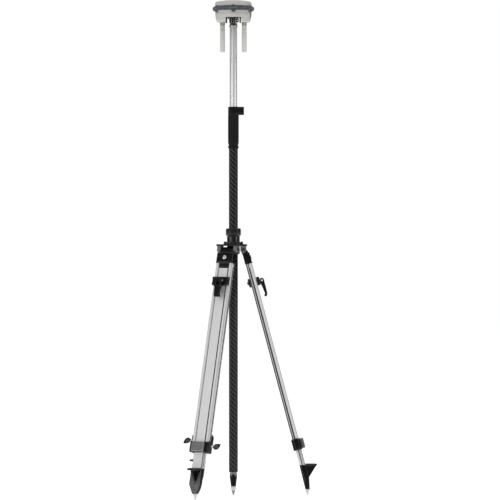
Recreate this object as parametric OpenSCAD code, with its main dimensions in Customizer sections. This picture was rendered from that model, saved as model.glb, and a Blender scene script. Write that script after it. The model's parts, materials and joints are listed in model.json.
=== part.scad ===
// GNSS survey receiver on a telescoping two-metre pole, held upright by a three-legged pole tripod.
// Millimetres, +Z up, origin at the tip of the pole point, leg a pointing along +X.

/* [Pole] */
// Height of the receiver's mounting face above the tip, at the pole's long setting
mount_h = 2000; // [1990:5:2010]
// Outer diameter of the carbon lower pole
lower_d = 38.1; // [38:0.1:38.2]
// Outer diameter of the aluminium upper pole
upper_d = 31.75; // [31.5:0.25:32]
// Outer diameter of the hand grip
grip_d = 45.5; // [44:0.5:48]
// Length of the hand grip, with its ring
grip_len = 143; // [130:1:150]

/* [Receiver] */
// Radius of the radome's side wall
radome_r = 78.5; // [77:0.5:80]
// Radius at the points of the bumper ring
bumper_r = 92; // [90:0.5:94]
// Distance of each rod antenna from the pole's axis
rod_x = 46; // [45:0.5:48]
// Diameter of each rod antenna
rod_d = 21; // [19:0.5:22]
// Length of each rod antenna below the housing
rod_len = 125; // [110:1:140]

/* [Tripod] */
// Tilt of each leg from the vertical
leg_tilt = 14.9; // [14.5:0.1:15.3]
// Height of the leg hinges
hinge_z = 1040; // [1035:1:1045]
// Distance of each hinge from the pole's axis
hinge_r = 42; // [41.5:0.5:43]
// Overall width of a pair of rails
rails_w = 77; // [76:0.5:78]
// Width of the sliding inner leg
inner_w = 47.4; // [47:0.1:47.4]

/* [Hidden] */
$fn = 96;
// Running clearance on radius, and the gap left between parts that only pass each other
run = 0.06;
gap = 0.3;
// Places along the pole
socket_z = 101.6;
point_z = 40;
grip_z = 1469;
lock_z = grip_z + grip_len;
lock_h = 34;
tube_top = lock_z + 16;
tube_in_r = 17;
upper_z = 1330;
upper_in_r = 13.9;
upper_top = mount_h - 20;
lever_pin = [34, -9.5];
lever_pin_r = 2.5;
lever_z = lock_z + 8.4;
lever_h = lock_h - 16.8;
// Places on the receiver, counted up from its mounting face
base_z = mount_h + 3;
seam_z = mount_h + 46;
crown_z = mount_h + 98;
ring_z = mount_h + 61;
wall = 2.6;
bay_x0 = -32;
bay_x1 = 34;
bay_top = mount_h + 23;
door_z = mount_h + 18;
door_h = 26;
door_half_angle = 22;
door_r = 73.4;
door_pin = [69.7, mount_h + 19.6];
button_z = mount_h + 35;
button_r = 6;
neck_rod_r = 5;
// Tripod head
ear_in = 31;
ear_out = 48;
ear_r = 12.5;
bolt_r = 4;
plate_z = hinge_z + 17.5;
plate_top = plate_z + 7;
flange_r = 42;
neck_r = 26;
thread_r = 25;
neck_z = plate_top + 9.5;
nut_z = 1099;
nut_h = 33;
hub_core_r = 27;
// Leg section, in the leg's own frame: x outward, y along the hinge, z up the leg from the hinge
rail_w = 14.3;
rail_in = -6;
rail_out = 21;
inner_in = -5;
inner_out = 20;
head_end = 62;
tongue_end = 80;
inner_top = 84;
rails_end = 866;
clamp_top = 831;
clamp_end = 876;
clamp_front = 26;
screw_s = 848;
screw_x = 7.5;
boss_end = 48;
paddle_t = 76;
// Angle at which each leg's thumb screw is left standing
screw_turn = [0, 0, 180];
cam_s = 143;
cam_x = 42.5;
eye_r = 10;
foot_top = 131;
step_top = 135;
spike_r = 313.8;
spike_top = 28;
leg_azimuth = [0, -120, 120];

// Points of an arc from angle a0 to a1 about (cx, cy), for turned profiles
function arc(cx, cy, r, a0, a1, n = 6) =
    [for (i = [0:n]) let (a = a0 + (a1 - a0) * i / n) [cx + r * cos(a), cy + r * sin(a)]];

// A tube or solid round about Z between two heights
module ring(r_out, r_in, z0, z1) {
    translate([0, 0, z0]) difference() {
        cylinder(r = r_out, h = z1 - z0);
        if (r_in > 0) translate([0, 0, -1]) cylinder(r = r_in, h = z1 - z0 + 2);
    }
}

// A round bar along Y from y0 to y1 at (x, z)
module cross_bar(r, x, z, y0, y1) {
    translate([x, y0, z]) rotate([-90, 0, 0]) cylinder(r = r, h = y1 - y0);
}

// A round bar along X from x0 to x1 at (y, z)
module out_bar(r, y, z, x0, x1) {
    translate([x0, y, z]) rotate([0, 90, 0]) cylinder(r = r, h = x1 - x0);
}

// A block in the leg's frame, from x0 to x1 outward, w wide, s0 to s1 down the leg
module leg_block(x0, x1, w, s0, s1, y = 0) {
    translate([x0, y - w / 2, -s1]) cube([x1 - x0, w, s1 - s0]);
}

// Turns what is drawn for a leg along +X to the azimuth of leg i
module at_leg(i) {
    rotate([0, 0, leg_azimuth[i]]) children();
}

// Puts what is drawn about the hinge, hanging straight down, onto the tilted leg
module down_leg() {
    translate([hinge_r, 0, hinge_z]) rotate([0, -leg_tilt, 0]) children();
}

// ---------- receiver ----------

// Upper half of the housing: a thin domed cover over the antenna
module receiver_radome() {
    color([0.76, 0.75, 0.73]) rotate_extrude() polygon(concat(
        [[radome_r - wall, seam_z], [radome_r, seam_z]],
        arc(radome_r - 12, mount_h + 80, 12, 0, 68),
        [[40, crown_z - 2.2], [0, crown_z], [0, crown_z - wall], [40, crown_z - 2.2 - wall]],
        arc(radome_r - 12, mount_h + 80, 12 - wall, 68, 0)
    ));
}

// Lower half of the housing: a tapered tub with an open bay across it for the pole mount
module receiver_base() {
    color([0.75, 0.74, 0.72]) difference() {
        union() {
            difference() {
                tub_solid();
                tub_hollow();
                bay_space(0, 5);
            }
            intersection() {
                tub_solid();
                difference() {
                    bay_space(wall, 0);
                    bay_space(0, 5);
                }
            }
            // Threaded boss that carries the mounting insert
            ring(18, 14, mount_h + 2, bay_top + 1);
            // Bosses for the rod antennas
            for (side = [-1, 1]) translate([side * rod_x, 0, 0]) ring(8, 0, base_z, base_z + 12);
        }
        battery_opening(gap);
        translate([0, 0, button_z]) rotate([-90, 0, 0]) cylinder(r = button_r + gap, h = 90);
    }
}

// Outer form of the tub
module tub_solid() {
    rotate_extrude() polygon(concat(
        [[0, base_z], [58, base_z]],
        arc(62, base_z + 11, 11, -80, -12),
        [[77, seam_z - 14], [77, seam_z], [0, seam_z]]
    ));
}

// Inside of the tub, open at the seam
module tub_hollow() {
    rotate_extrude() polygon([
        [0, base_z + wall], [58, base_z + wall], [70, base_z + 9], [77 - wall, seam_z - 14],
        [77 - wall, seam_z + 1], [0, seam_z + 1]
    ]);
}

// Space of the bay from front to back, grown sideways and upward, and taken down below the tub
module bay_space(grow, below) {
    translate([bay_x0 - grow, -radome_r, base_z - below])
        cube([bay_x1 - bay_x0 + 2 * grow, 2 * radome_r, bay_top - base_z + grow + below]);
}

// Sector of the tub wall that the battery door fills, with room under its hinge
module battery_opening(slack) {
    sill = 1.4;
    rotate([0, 0, -door_half_angle - slack]) translate([0, 0, door_z - sill])
        rotate_extrude(angle = 2 * (door_half_angle + slack))
            translate([door_r - 7.2, 0]) square([22, door_h + sill + slack]);
}

// Elastomer ring that protects the seam, with six thicker corners
module receiver_bumper() {
    color([0.24, 0.26, 0.29]) {
        rotate_extrude() polygon([
            [radome_r + 0.1, ring_z - 10], [bumper_r - 5, ring_z - 6.5], [bumper_r - 3, ring_z],
            [bumper_r - 5, ring_z + 6], [radome_r + 0.1, ring_z + 11]
        ]);
        for (i = [0:5]) rotate([0, 0, 30 + 60 * i]) bumper_corner();
    }
}

// One corner of the bumper: a flat-faced diamond block, pointed outward, that stands on the ring
module bumper_corner() {
    intersection() {
        rotate([90, 0, 90]) linear_extrude(bumper_r + 5) polygon([
            [-15, ring_z - 6], [-3, ring_z - 18.5], [3, ring_z - 18.5], [15, ring_z - 6],
            [15, ring_z + 6], [3, ring_z + 13], [-3, ring_z + 13], [-15, ring_z + 6]
        ]);
        rotate([90, 0, 0]) linear_extrude(40, center = true) polygon([
            [radome_r + 0.4, ring_z - 20], [radome_r + 2, ring_z - 19], [bumper_r - 0.6, ring_z - 1.5],
            [bumper_r - 0.6, ring_z + 1.5], [radome_r + 2, ring_z + 14], [radome_r + 0.4, ring_z + 14]
        ]);
    }
}

// Stacked patch antenna on its ground plane
module antenna_element() {
    color([0.78, 0.72, 0.55]) {
        ring(66, 0, mount_h + 58, mount_h + 61);
        translate([-27, -27, mount_h + 61]) cube([54, 54, 8]);
        translate([-18, -18, mount_h + 69]) cube([36, 36, 7]);
    }
}

// Receiver circuit board with its two shield cans
module main_board() {
    color([0.16, 0.38, 0.24]) {
        ring(64, 0, mount_h + 48, mount_h + 50);
        translate([-46, -30, mount_h + 50]) cube([40, 50, 5]);
        translate([6, -34, mount_h + 50]) cube([34, 38, 5]);
    }
}

// Removable battery behind the door
module battery_pack() {
    color([0.2, 0.2, 0.22]) translate([38, -20, mount_h + 20]) cube([24, 40, 22]);
}

// Curved door in the side of the tub, on a hinge barrel along its lower edge
module battery_door() {
    color([0.12, 0.12, 0.13]) {
        rotate([0, 0, -door_half_angle]) translate([0, 0, door_z])
            rotate_extrude(angle = 2 * door_half_angle) polygon([
                [door_r - 5.6, 0], [door_r - 1.8, 0], [door_r + 2.6, 12], [door_r + 3.4, door_h],
                [door_r - 0.6, door_h], [door_r - 1.6, 12]
            ]);
        cross_bar(1.9, door_pin[0], door_pin[1], -12, 12);
    }
}

// Push button on the far side of the tub
module power_button() {
    color([0.1, 0.1, 0.11]) translate([0, 0, button_z]) rotate([-90, 0, 0]) {
        translate([0, 0, 68]) cylinder(r = button_r, h = 10);
        translate([0, 0, 64]) cylinder(r = button_r + 1.5, h = 4);
    }
}

// Black mouldings on the underside: bars across the bay, a ring connector and the rods' fork cheeks
module data_ports() {
    color([0.07, 0.07, 0.08]) {
        bay_bar(-29, 6, mount_h - 1);
        bay_bar(-20.6, 4.6, mount_h + 15);
        bay_bar(-13.4, 6.8, mount_h - 1);
        bay_bar(-4, 6, mount_h - 1);
        bay_bar(4.2, 5, mount_h - 1);
        bay_bar(29, 6, mount_h - 1);
        difference() {
            union() {
                cross_bar(7.2, 17, mount_h + 9, -58, -24);
                translate([15, -54, mount_h + 9]) cube([4, 26, bay_top - mount_h - 9]);
            }
            cross_bar(4.2, 17, mount_h + 9, -59, -23);
        }
        for (side = [-1, 1]) for (x = [-7.5, 7.5])
            translate([side * rod_x + x - 2, -6, mount_h - 9]) cube([4, 12, 12]);
    }
}

// One black bar that hangs from the roof of the bay, in front of the mount
module bay_bar(x, w, z0) {
    translate([x - w / 2, -58, z0]) cube([w, 34, bay_top - z0]);
}

// Threaded insert at the centre of the underside
module mount_insert() {
    color([0.72, 0.6, 0.32]) difference() {
        ring(14, 8, mount_h, mount_h + 22);
        translate([0, 0, mount_h - 0.01]) cylinder(r1 = 9, r2 = 8, h = 1);
    }
}

// One rod antenna: slim neck, knurled collar, sleeve and bevelled tip
module rod_antenna(side) {
    tip = mount_h + 2 - rod_len;
    color([0.74, 0.74, 0.72]) translate([side * rod_x, 0, 0]) rotate_extrude() polygon([
        [0, tip], [rod_d / 2 - 2.5, tip], [rod_d / 2, tip + 4], [rod_d / 2, mount_h - 38],
        [rod_d / 2 - 0.7, mount_h - 37], [rod_d / 2 - 0.7, mount_h - 17],
        [rod_d / 2, mount_h - 16], [rod_d / 2, mount_h - 10.5], [rod_d / 2 - 2, mount_h - 9.5],
        [neck_rod_r, mount_h - 9.5], [neck_rod_r, base_z], [0, base_z]
    ]);
}

module left_rod_antenna() {
    rod_antenna(-1);
}

module right_rod_antenna() {
    rod_antenna(1);
}

// ---------- pole ----------

// Aluminium tube that slides out of the lower pole
module upper_pole() {
    color([0.78, 0.79, 0.8]) ring(upper_d / 2, upper_in_r, upper_z, upper_top);
}

// Head of the upper pole, with the stud that the receiver screws onto
module pole_top_collar() {
    color([0.62, 0.63, 0.64]) {
        ring(upper_in_r - 0.05, 0, upper_top - 26, upper_top);
        rotate_extrude() polygon([
            [0, upper_top], [upper_d / 2, upper_top], [18, upper_top + 8], [18, upper_top + 11],
            [15, upper_top + 17], [15, mount_h], [0, mount_h]
        ]);
        ring(7.9, 0, mount_h, mount_h + 15);
    }
}

// Carbon-fibre tube
module lower_pole() {
    color([0.14, 0.14, 0.15]) ring(lower_d / 2, tube_in_r, socket_z, tube_top);
}

// Moulded grip with a beaded ring at its lower end
module pole_grip() {
    g = grip_d / 2;
    color([0.09, 0.09, 0.095]) translate([0, 0, grip_z]) rotate_extrude() polygon([
        [lower_d / 2 + 0.05, 0], [g - 3, 0], [g - 0.8, 2.5], [g, 6.5], [g - 0.8, 10.5],
        [g - 2.6, 12.5], [g - 2.6, 15.5], [g - 1, 20], [g, 28], [g, grip_len],
        [lower_d / 2 + 0.05, grip_len]
    ]);
}

// Clamp block around both tubes, split on the side of its lever
module lock_housing() {
    color([0.11, 0.11, 0.115]) difference() {
        union() {
            ring(22.4, 0, lock_z, lock_z + lock_h);
            translate([0, -13, lock_z]) cube([45, 26, lock_h]);
        }
        translate([0, 0, lock_z - 1]) cylinder(r = lower_d / 2 + 0.05, h = tube_top - lock_z + 1);
        translate([0, 0, lock_z - 1]) cylinder(r = upper_d / 2 + gap, h = lock_h + 2);
        translate([14, -1, lock_z - 1]) cube([40, 2, lock_h + 2]);
        // Pocket that the lever folds into
        translate([14, -14, lock_z + 8]) cube([32, 8.6, lock_h - 16]);
        translate([lever_pin[0], lever_pin[1], lock_z - 1]) cylinder(r = lever_pin_r + run, h = lock_h + 2);
    }
}

// Cam lever of the pole lock, folded against the block, on its own pin
module lock_lever() {
    color([0.13, 0.13, 0.135]) {
        translate([lever_pin[0], lever_pin[1], lock_z + 0.5]) cylinder(r = lever_pin_r, h = lock_h - 1);
        translate([lever_pin[0], lever_pin[1], lever_z]) cylinder(r = 3.9, h = lever_h);
        translate([-12, -24.2, lever_z]) cube([26, 1.4, lever_h]);
        translate([0, 0, lever_z]) linear_extrude(lever_h) polygon([
            [34, -13.4], [34, -9.5], [30.2, -9.5], [30.2, -13], [12, -23], [-12, -23],
            [-12, -25.5], [14, -25.5]
        ]);
    }
}

// Plastic bush in the mouth of the lower tube, which guides the upper pole
module slide_bush() {
    color([0.8, 0.8, 0.78])
        ring(tube_in_r - 0.02, upper_d / 2 + run, tube_top - 90, tube_top);
}

// Ferrule that closes the lower tube and takes the point
module point_socket() {
    color([0.42, 0.43, 0.45]) difference() {
        rotate_extrude() polygon([
            [0, point_z], [10.5, point_z], [15.5, socket_z - 30], [15.5, socket_z - 20],
            [14.5, socket_z - 2], [18.5, socket_z - 2], [18.5, socket_z],
            [tube_in_r - 0.05, socket_z], [tube_in_r - 0.05, socket_z + 36], [0, socket_z + 36]
        ]);
        translate([0, 0, point_z - 1]) cylinder(r = 6, h = 23);
    }
}

// Hardened steel point with its stud
module pole_point() {
    color([0.72, 0.72, 0.73]) rotate_extrude() polygon([
        [0, 0], [0.8, 0], [8, 22], [10, 26], [10, point_z], [5.95, point_z],
        [5.95, point_z + 21], [0, point_z + 21]
    ]);
}

// ---------- tripod head ----------

// Central body: bushing for the pole, flange and threaded neck
module tripod_hub() {
    color([0.1, 0.1, 0.105]) difference() {
        rotate_extrude() polygon(concat(
            [[0, hinge_z - 19], [hub_core_r - 7, hinge_z - 19]],
            arc(hub_core_r - 7, hinge_z - 12, 7, -90, 0),
            [[hub_core_r, plate_top], [flange_r, plate_top], [flange_r, neck_z], [neck_r, neck_z],
             [neck_r, nut_z - gap], [thread_r, nut_z - gap], [thread_r, nut_z + 20], [0, nut_z + 20]]
        ));
        translate([0, 0, hinge_z - 30]) cylinder(r = lower_d / 2 + run, h = 140);
        translate([0, 0, nut_z - 12]) cylinder(r = 22.1, h = 40);
    }
}

// Plate bolted under the flange, with a pair of ears for each leg
module hub_plate() {
    color([0.5, 0.5, 0.51]) difference() {
        for (i = [0:2]) at_leg(i) {
            translate([0, -50, plate_z]) cube([58, 100, plate_top - plate_z]);
            for (side = [-1, 1]) hinge_ear(side);
        }
        translate([0, 0, plate_z - 1]) cylinder(r = hub_core_r + 0.05, h = 20);
    }
}

// One hinge ear: a round end on a flat cheek
module hinge_ear(side) {
    y0 = side > 0 ? ear_in : -ear_out;
    difference() {
        union() {
            cross_bar(ear_r, hinge_r, hinge_z, y0, y0 + ear_out - ear_in);
            translate([hinge_r - ear_r, y0, hinge_z])
                cube([2 * ear_r, ear_out - ear_in, plate_z - hinge_z + 0.5]);
        }
        cross_bar(bolt_r + run, hinge_r, hinge_z, y0 - 1, y0 + ear_out - ear_in + 1);
    }
}

// Hinge bolts of the three legs, each with a round head and a hexagonal nut against the ears
module hinge_bolts() {
    head_h = 4.2;
    bolt_nut_h = 4.6;
    color([0.12, 0.12, 0.125]) for (i = [0:2]) at_leg(i) {
        cross_bar(bolt_r, hinge_r, hinge_z, -ear_out - bolt_nut_h, ear_out + head_h);
        cross_bar(7, hinge_r, hinge_z, ear_out + 0.1, ear_out + head_h);
        translate([hinge_r, -ear_out - bolt_nut_h, hinge_z]) rotate([-90, 0, 0])
            cylinder(r = 7.5, h = bolt_nut_h - 0.1, $fn = 6);
    }
}

// Lobed nut that squeezes the collet onto the pole
module clamp_nut() {
    color([0.17, 0.17, 0.175]) difference() {
        union() {
            translate([0, 0, nut_z]) cylinder(r = 29.5, h = nut_h);
            for (i = [0:5]) rotate([0, 0, 60 * i]) translate([25, 0, nut_z]) cylinder(r = 7, h = nut_h);
        }
        translate([0, 0, nut_z - 1]) cylinder(r = thread_r + run, h = 25.5);
        translate([0, 0, nut_z - 1]) cylinder(r = lower_d / 2 + 1, h = nut_h + 2);
    }
}

// Slotted collet inside the neck
module clamp_collet() {
    color([0.85, 0.84, 0.8]) difference() {
        ring(22, lower_d / 2 + run, nut_z - 11.9, nut_z + 21);
        for (i = [0:2]) rotate([0, 0, 60 * i])
            translate([-30, -0.8, nut_z - 4]) cube([60, 1.6, 40]);
    }
}

// Round level set on the flange behind the neck
module level_vial() {
    color([0.6, 0.8, 0.35]) translate([0, 34, neck_z]) {
        cylinder(r = 7, h = 5);
        cylinder(r = 5, h = 6.5);
    }
}

// ---------- legs ----------

// Casting at the top of a leg: hinge knuckle, shoulders and a tongue between the rails
module leg_head(i) {
    color([0.1, 0.1, 0.105]) at_leg(i) down_leg() difference() {
        union() {
            cross_bar(12, 0, 0, -30.5, 30.5);
            rotate([90, 0, 0]) linear_extrude(61, center = true)
                polygon([[-11.5, -3], [-8, -20], [22.2, -21.4], [9.7, 6]]);
            leg_block(-8, 22.2, rails_w + 1, 17, head_end);
            leg_block(21, 24, rails_w + 1, head_end - 5, head_end);
            leg_block(inner_in, inner_out, 48, head_end - 1, tongue_end);
        }
        cross_bar(bolt_r + run, 0, 0, -40, 40);
    }
}

// Pair of extruded rails
module leg_rails(i) {
    color([0.82, 0.83, 0.84]) at_leg(i) down_leg() for (side = [-1, 1]) difference() {
        leg_block(rail_in, rail_out, rail_w, head_end, rails_end, side * (rails_w - rail_w) / 2);
        leg_block(rail_in + 2, rail_out - 2, rail_w - 4, head_end - 1, rails_end + 1,
                  side * (rails_w - rail_w) / 2);
    }
}

// Casting at the foot of the rails, with side cheeks and a boss for the thumb screw
module leg_lower_clamp(i) {
    color([0.1, 0.1, 0.105]) at_leg(i) down_leg() difference() {
        union() {
            leg_block(-12, clamp_front, 87, clamp_top, clamp_end);
            for (side = [-1, 1]) leg_block(-2, 17, 7, clamp_top - 4, clamp_end - 4, side * 42.5);
            cross_bar(8, screw_x, -screw_s, 40, boss_end);
        }
        leg_block(rail_in, rail_out, rails_w, clamp_top - 30, rails_end);
        leg_block(rail_in - 0.2, rail_out + 0.2, inner_w + 1.2, clamp_top - 31, clamp_end + 1);
        cross_bar(bolt_r + run, screw_x, -screw_s, 30, boss_end + 2);
    }
}

// Raised block on the front of the lower clamp
module leg_front_block(i) {
    color([0.4, 0.4, 0.41]) at_leg(i) down_leg()
        leg_block(clamp_front, 40, 57, clamp_top + 2, clamp_end - 2);
}

// Thumb screw with a dished, leaf-shaped paddle
module leg_thumbscrew(i) {
    thick = 8;
    dish_r = 30;
    color([0.08, 0.08, 0.085]) at_leg(i) down_leg() translate([screw_x, 0, -screw_s])
        rotate([0, screw_turn[i], 0]) difference() {
            union() {
                cross_bar(bolt_r, 0, 0, 38.9, paddle_t - 14);
                translate([-thick / 2, paddle_t, 0]) rotate([90, 0, 90]) linear_extrude(thick) polygon([
                    [-16, -0.6], [-14, -8], [-8, -12.5], [1.5, -11.5], [8.5, -6.6], [14, 3],
                    [16, 12], [3, 12.5], [-7, 11.3], [-12.5, 6]
                ]);
            }
            for (side = [-1, 1]) translate([side * (dish_r + 1.5), paddle_t, 0]) sphere(r = dish_r);
        }
}

// Sliding inner leg, a box extrusion cut level at the foot
module leg_inner(i) {
    color([0.83, 0.84, 0.85]) at_leg(i) difference() {
        down_leg() difference() {
            leg_block(inner_in, inner_out, inner_w, inner_top, 960);
            leg_block(inner_in + 2, inner_out - 2, inner_w - 4, inner_top - 1, 961);
            out_bar(bolt_r + run, 0, -cam_s, -30, 30);
        }
        translate([200, -50, -10]) cube([200, 100, foot_top + 10]);
    }
}

// Two clamp blocks that grip the rails, joined by a bolt that carries the lever's cross pin
module leg_cam_clamp(i) {
    color([0.11, 0.11, 0.115]) at_leg(i) down_leg() {
        difference() {
            leg_block(rail_out + gap, cam_x - eye_r - gap, 78, cam_s - 18, cam_s + 18);
            for (side = [-1, 1]) leg_block(rail_out, rail_out + 3, 8, cam_s - 19, cam_s + 19, side * 18);
        }
        for (side = [-1, 1]) for (s = [-11, 11])
            out_bar(6, side * 33, -cam_s - s, cam_x - eye_r - gap - 1, cam_x - eye_r + 2);
        leg_block(rail_in - gap - 9, rail_in - gap, 78, cam_s - 18, cam_s + 18);
        out_bar(bolt_r, 0, -cam_s, rail_in - gap - 13, cam_x);
        out_bar(7, 0, -cam_s, rail_in - gap - 14, rail_in - gap - 8);
        cross_bar(7, cam_x, -cam_s, -7.5, 7.5);
        cross_bar(bolt_r, cam_x, -cam_s, -19, 19);
    }
}

// Forked cam lever that hangs beside the leg when closed, with a curled end for the finger
module leg_cam_lever(i) {
    color([0.09, 0.09, 0.095]) at_leg(i) down_leg() translate([cam_x, 0, -cam_s]) difference() {
        union() {
            cross_bar(eye_r, 0, 0, -17, 17);
            rotate([90, 0, 0]) linear_extrude(34, center = true)
                polygon([[-8.5, -5], [-5.4, -27], [9.5, -27], [9.8, -2]]);
            rotate([90, 0, 0]) linear_extrude(26, center = true) polygon([
                [-5.6, -25], [-1.5, -52.8], [-0.6, -58.6], [-5.6, -63.4], [-5.6, -67.6], [-2.6, -71],
                [2, -71], [5.4, -68.6], [9.1, -59.8], [9.5, -34.8], [9.6, -25]
            ]);
        }
        cross_bar(bolt_r + run, 0, 0, -20, 20);
        translate([-20, -8, -22]) cube([40, 16, 34]);
        out_bar(5, 0, 0, -20, 0);
    }
}

// Foot casting: a tapered nose, a step plate on a thin web, and a tongue inside the inner leg
module leg_foot(i) {
    color([0.09, 0.09, 0.095]) at_leg(i) difference() {
        union() {
            difference() {
                foot_nose();
                foot_pocket();
            }
            translate([0, 3, 0]) rotate([90, 0, 0]) linear_extrude(6) polygon([
                [298, foot_top - 1], [304, 74], [320.5, 74], [322, 80], [336, 103], [350, 126],
                [350, foot_top - 1]
            ]);
            translate([0, 0, foot_top - 3.5]) linear_extrude(step_top - foot_top + 3.5) polygon([
                [305.5, -25], [335, -24], [350, -19], [353.6, -14], [353.6, 14], [350, 19], [335, 24],
                [305.5, 25]
            ]);
            difference() {
                down_leg() leg_block(inner_in + 2.2, inner_out - 2.2, inner_w - 4.6, 905, 950);
                translate([200, -50, -10]) cube([200, 100, foot_top + 9]);
            }
        }
        translate([spike_r, 0, spike_top - 1]) cylinder(r = 6, h = 33);
    }
}

// Nose of the foot, narrowed towards the spike and bevelled along its rear corners
module foot_nose() {
    intersection() {
        rotate([90, 0, 0]) linear_extrude(60, center = true) polygon([
            [279, foot_top], [304.5, spike_top], [323.5, spike_top], [321, 73], [305.5, foot_top]
        ]);
        rotate([90, 0, 90]) linear_extrude(400) polygon([
            [-25, 140], [-25.5, 100], [-26, 66], [-10, spike_top - 1], [10, spike_top - 1],
            [26, 66], [25.5, 100], [25, 140]
        ]);
        down_leg() translate([0, 0, -1060]) linear_extrude(160)
            polygon([[-8, -17], [1, -26], [60, -26], [60, 26], [1, 26], [-8, 17]]);
    }
}

// Pocket in the front of the nose, pointed at its lower end
module foot_pocket() {
    intersection() {
        rotate([90, 0, 90]) linear_extrude(400) polygon([[0, 66], [20, foot_top - 4], [-20, foot_top - 4]]);
        rotate([90, 0, 0]) linear_extrude(60, center = true)
            polygon([[299, foot_top], [315, 60], [340, 60], [340, foot_top]]);
    }
}

// Steel spike pressed into the foot
module leg_spike(i) {
    color([0.75, 0.75, 0.76]) at_leg(i) translate([spike_r, 0, 0]) rotate_extrude() polygon([
        [0, 0], [0.9, 0], [5, 12], [7, 19], [9.5, 24], [9.5, spike_top], [5.95, spike_top],
        [5.95, spike_top + 31], [0, spike_top + 31]
    ]);
}

// Visible screws: one on the head and two at the top of each rail
module leg_fasteners(i) {
    head_h = 1.6;
    color([0.8, 0.8, 0.81]) at_leg(i) down_leg() {
        out_bar(8.8, 0, -38, 22.2, 25.2);
        for (s = [68, 76]) {
            cross_bar(3, screw_x, -s, rails_w / 2, rails_w / 2 + head_h);
            cross_bar(3, screw_x, -s, -rails_w / 2 - head_h, -rails_w / 2);
        }
    }
}

receiver_radome();
receiver_base();
receiver_bumper();
antenna_element();
main_board();
battery_pack();
battery_door();
power_button();
data_ports();
mount_insert();
left_rod_antenna();
right_rod_antenna();
upper_pole();
pole_top_collar();
lower_pole();
pole_grip();
lock_housing();
lock_lever();
slide_bush();
point_socket();
pole_point();
tripod_hub();
hub_plate();
hinge_bolts();
clamp_nut();
clamp_collet();
level_vial();
leg_head(0);  // leg_a_head
leg_rails(0);  // leg_a_rails
leg_lower_clamp(0);  // leg_a_lower_clamp
leg_front_block(0);  // leg_a_front_block
leg_thumbscrew(0);  // leg_a_thumbscrew
leg_inner(0);  // leg_a_inner
leg_cam_clamp(0);  // leg_a_cam_clamp
leg_cam_lever(0);  // leg_a_cam_lever
leg_foot(0);  // leg_a_foot
leg_spike(0);  // leg_a_spike
leg_fasteners(0);  // leg_a_fasteners
leg_head(1);  // leg_b_head
leg_rails(1);  // leg_b_rails
leg_lower_clamp(1);  // leg_b_lower_clamp
leg_front_block(1);  // leg_b_front_block
leg_thumbscrew(1);  // leg_b_thumbscrew
leg_inner(1);  // leg_b_inner
leg_cam_clamp(1);  // leg_b_cam_clamp
leg_cam_lever(1);  // leg_b_cam_lever
leg_foot(1);  // leg_b_foot
leg_spike(1);  // leg_b_spike
leg_fasteners(1);  // leg_b_fasteners
leg_head(2);  // leg_c_head
leg_rails(2);  // leg_c_rails
leg_lower_clamp(2);  // leg_c_lower_clamp
leg_front_block(2);  // leg_c_front_block
leg_thumbscrew(2);  // leg_c_thumbscrew
leg_inner(2);  // leg_c_inner
leg_cam_clamp(2);  // leg_c_cam_clamp
leg_cam_lever(2);  // leg_c_cam_lever
leg_foot(2);  // leg_c_foot
leg_spike(2);  // leg_c_spike
leg_fasteners(2);  // leg_c_fasteners
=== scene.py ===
# %% [markdown]
# # A survey receiver on its pole and tripod
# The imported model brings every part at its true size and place, together with the bodies that its joints
# move. This script gives the parts their looks. Everything is in metres, +Z is up, and the origin is the
# tip of the pole's point. Leg a points along +X, leg b towards the viewer's left, leg c away from the viewer.

# %% Load the frame
import json
import math

import bpy
import mathutils
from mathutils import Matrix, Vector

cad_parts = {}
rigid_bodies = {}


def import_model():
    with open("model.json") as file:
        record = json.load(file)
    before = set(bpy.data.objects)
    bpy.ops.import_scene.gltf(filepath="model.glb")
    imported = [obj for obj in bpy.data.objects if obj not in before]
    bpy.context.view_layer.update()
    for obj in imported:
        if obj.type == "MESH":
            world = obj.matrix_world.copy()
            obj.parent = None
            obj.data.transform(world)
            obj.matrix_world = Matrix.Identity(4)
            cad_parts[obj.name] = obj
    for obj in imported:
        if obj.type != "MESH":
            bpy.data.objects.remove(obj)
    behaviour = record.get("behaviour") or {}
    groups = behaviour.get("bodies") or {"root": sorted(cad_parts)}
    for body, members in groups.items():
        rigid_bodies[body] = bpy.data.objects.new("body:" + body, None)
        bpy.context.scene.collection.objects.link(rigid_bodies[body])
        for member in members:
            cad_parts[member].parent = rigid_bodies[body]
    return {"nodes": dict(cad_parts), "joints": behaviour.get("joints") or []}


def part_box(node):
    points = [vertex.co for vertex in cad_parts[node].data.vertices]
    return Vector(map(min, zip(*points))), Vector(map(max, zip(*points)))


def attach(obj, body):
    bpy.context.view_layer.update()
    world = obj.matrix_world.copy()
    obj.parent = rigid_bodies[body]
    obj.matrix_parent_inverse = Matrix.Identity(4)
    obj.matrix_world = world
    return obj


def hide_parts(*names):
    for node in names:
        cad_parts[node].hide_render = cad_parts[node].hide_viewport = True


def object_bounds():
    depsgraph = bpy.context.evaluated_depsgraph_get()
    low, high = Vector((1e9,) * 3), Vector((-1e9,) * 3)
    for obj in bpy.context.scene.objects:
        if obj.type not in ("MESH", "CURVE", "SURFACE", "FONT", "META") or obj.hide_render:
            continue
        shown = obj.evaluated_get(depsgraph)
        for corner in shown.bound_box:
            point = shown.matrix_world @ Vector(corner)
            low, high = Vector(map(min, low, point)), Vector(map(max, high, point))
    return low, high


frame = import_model()
cad_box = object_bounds()
LEG_AZIMUTH = {"a": 0.0, "b": -120.0, "c": 120.0}

# %% [markdown]
# ## Camera
# A two-metre pole looks straight only from far away with a long lens. The camera stands 14 metres off at
# half the pole's height, level, and a little to the right, so that both the tripod's near leg and the pole
# keep their true widths.

# %% Place the camera
VIEW_HEIGHT = 2.1175
CAMERA_DISTANCE = 14.0
CAMERA_HEIGHT = 1.040
CAMERA_SIDE = 0.0703
SENSOR_MM = 36.0

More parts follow.
